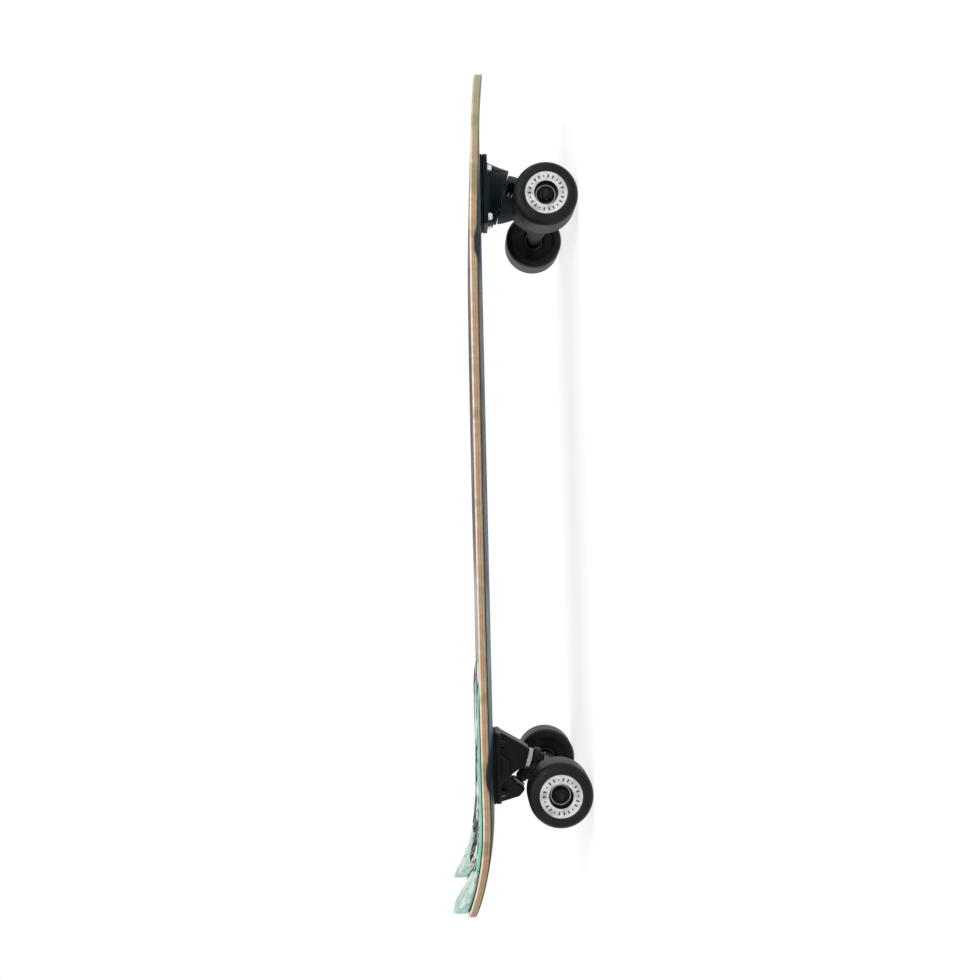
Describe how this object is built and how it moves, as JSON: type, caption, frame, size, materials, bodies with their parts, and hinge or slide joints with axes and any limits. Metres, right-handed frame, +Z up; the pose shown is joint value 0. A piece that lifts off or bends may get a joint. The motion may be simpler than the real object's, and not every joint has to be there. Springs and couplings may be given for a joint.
{
  "type": "surfskate",
  "caption": "Surfskate: kicked swallow-tail plywood deck with a traction pad, a swinging spring-centred front truck, a leaning rear truck and urethane wheels.",
  "frame": {"origin": "centre of the footprint of the bounding box, on the ground under the wheels", "axes": "+X to the nose, +Z up through the deck, +Y to the left of a rider who faces the nose"},
  "size_m": [0.94, 0.2404, 0.1477],
  "materials": {
    "ply": "pressed maple plies under a satin lacquer, printed faces",
    "pad_foam": "closed-cell foam, matt, marbled",
    "riser_rubber": "matt",
    "truck_casting": "dark powder coat on cast aluminium",
    "black_casting": "black coat on cast aluminium",
    "black_bolt": "black oxide",
    "zinc_nut": "bright zinc",
    "black_nut": "black oxide",
    "black_steel": "black oxide",
    "bright_steel": "ground steel",
    "grey_steel": "plain steel, a little dull",
    "pale_bushing": "milky cast urethane",
    "dark_bushing": "cast urethane",
    "beige_cup": "moulded plastic",
    "wheel_urethane": "cast urethane, satin"
  },
  "bodies": {
    "board": {"deck": "ply", "traction_pad": "pad_foam", "tail_kick": "pad_foam", "front_riser": "riser_rubber", "rear_riser": "riser_rubber", "front_base": "truck_casting", "rear_base": "black_casting", "front_mount_bolt_1": "black_bolt", "front_mount_bolt_2": "black_bolt", "front_mount_bolt_3": "black_bolt", "front_mount_bolt_4": "black_bolt", "front_mount_nut_1": "zinc_nut", "front_mount_nut_2": "zinc_nut", "front_mount_nut_3": "zinc_nut", "front_mount_nut_4": "zinc_nut", "rear_mount_bolt_1": "black_bolt", "rear_mount_bolt_2": "black_bolt", "rear_mount_bolt_3": "black_bolt", "rear_mount_bolt_4": "black_bolt", "rear_mount_nut_1": "black_nut", "rear_mount_nut_2": "black_nut", "rear_mount_nut_3": "black_nut", "rear_mount_nut_4": "black_nut", "pivot_bolt": "black_steel", "pivot_nut": "zinc_nut", "pivot_sleeve": "bright_steel", "thrust_bearing": "bright_steel", "pivot_cup": "beige_cup", "kingpin": "black_steel", "upper_bushing": "pale_bushing", "lower_bushing": "dark_bushing", "cup_washer": "grey_steel", "kingpin_nut": "grey_steel"},
    "front_hanger": {"front_hanger": "truck_casting", "centring_spring": "bright_steel", "front_axle": "bright_steel", "front_left_axle_nut": "black_steel", "front_right_axle_nut": "black_steel"},
    "rear_hanger": {"rear_hanger": "black_casting", "rear_axle": "bright_steel", "rear_left_axle_nut": "black_steel", "rear_right_axle_nut": "black_steel"},
    "front_left_wheel": {"front_left_wheel": "wheel_urethane", "front_left_bearing_inner": "bright_steel", "front_left_bearing_outer": "bright_steel"},
    "front_right_wheel": {"front_right_wheel": "wheel_urethane", "front_right_bearing_inner": "bright_steel", "front_right_bearing_outer": "bright_steel"},
    "rear_left_wheel": {"rear_left_wheel": "wheel_urethane", "rear_left_bearing_inner": "bright_steel", "rear_left_bearing_outer": "bright_steel"},
    "rear_right_wheel": {"rear_right_wheel": "wheel_urethane", "rear_right_bearing_inner": "bright_steel", "rear_right_bearing_outer": "bright_steel"}
  },
  "joints": [
    {"name": "front_swing", "type": "hinge", "parent": "board", "child": "front_hanger", "pos_m": [0.325, 0, 0.07521], "axis": [0.2588, 0, 0.9659], "range_deg": [-35, 35], "stiffness_Nm_per_rad": 12, "deforming": ["centring_spring"]},
    {"name": "rear_lean", "type": "hinge", "parent": "board", "child": "rear_hanger", "pos_m": [-0.3409, 0, 0.07271], "axis": [0.7811, 0, -0.6244], "range_deg": [-12, 12], "stiffness_Nm_per_rad": 40, "deforming": ["upper_bushing", "lower_bushing"]},
    {"name": "front_left_spin", "type": "hinge", "parent": "front_hanger", "child": "front_left_wheel", "pos_m": [0.298, 0, 0.03371], "axis": [0, 1, 0], "continuous": true},
    {"name": "front_right_spin", "type": "hinge", "parent": "front_hanger", "child": "front_right_wheel", "pos_m": [0.298, 0, 0.03371], "axis": [0, 1, 0], "continuous": true},
    {"name": "rear_left_spin", "type": "hinge", "parent": "rear_hanger", "child": "rear_left_wheel", "pos_m": [-0.3315, 0, 0.03371], "axis": [0, 1, 0], "continuous": true},
    {"name": "rear_right_spin", "type": "hinge", "parent": "rear_hanger", "child": "rear_right_wheel", "pos_m": [-0.3315, 0, 0.03371], "axis": [0, 1, 0], "continuous": true}
  ]
}
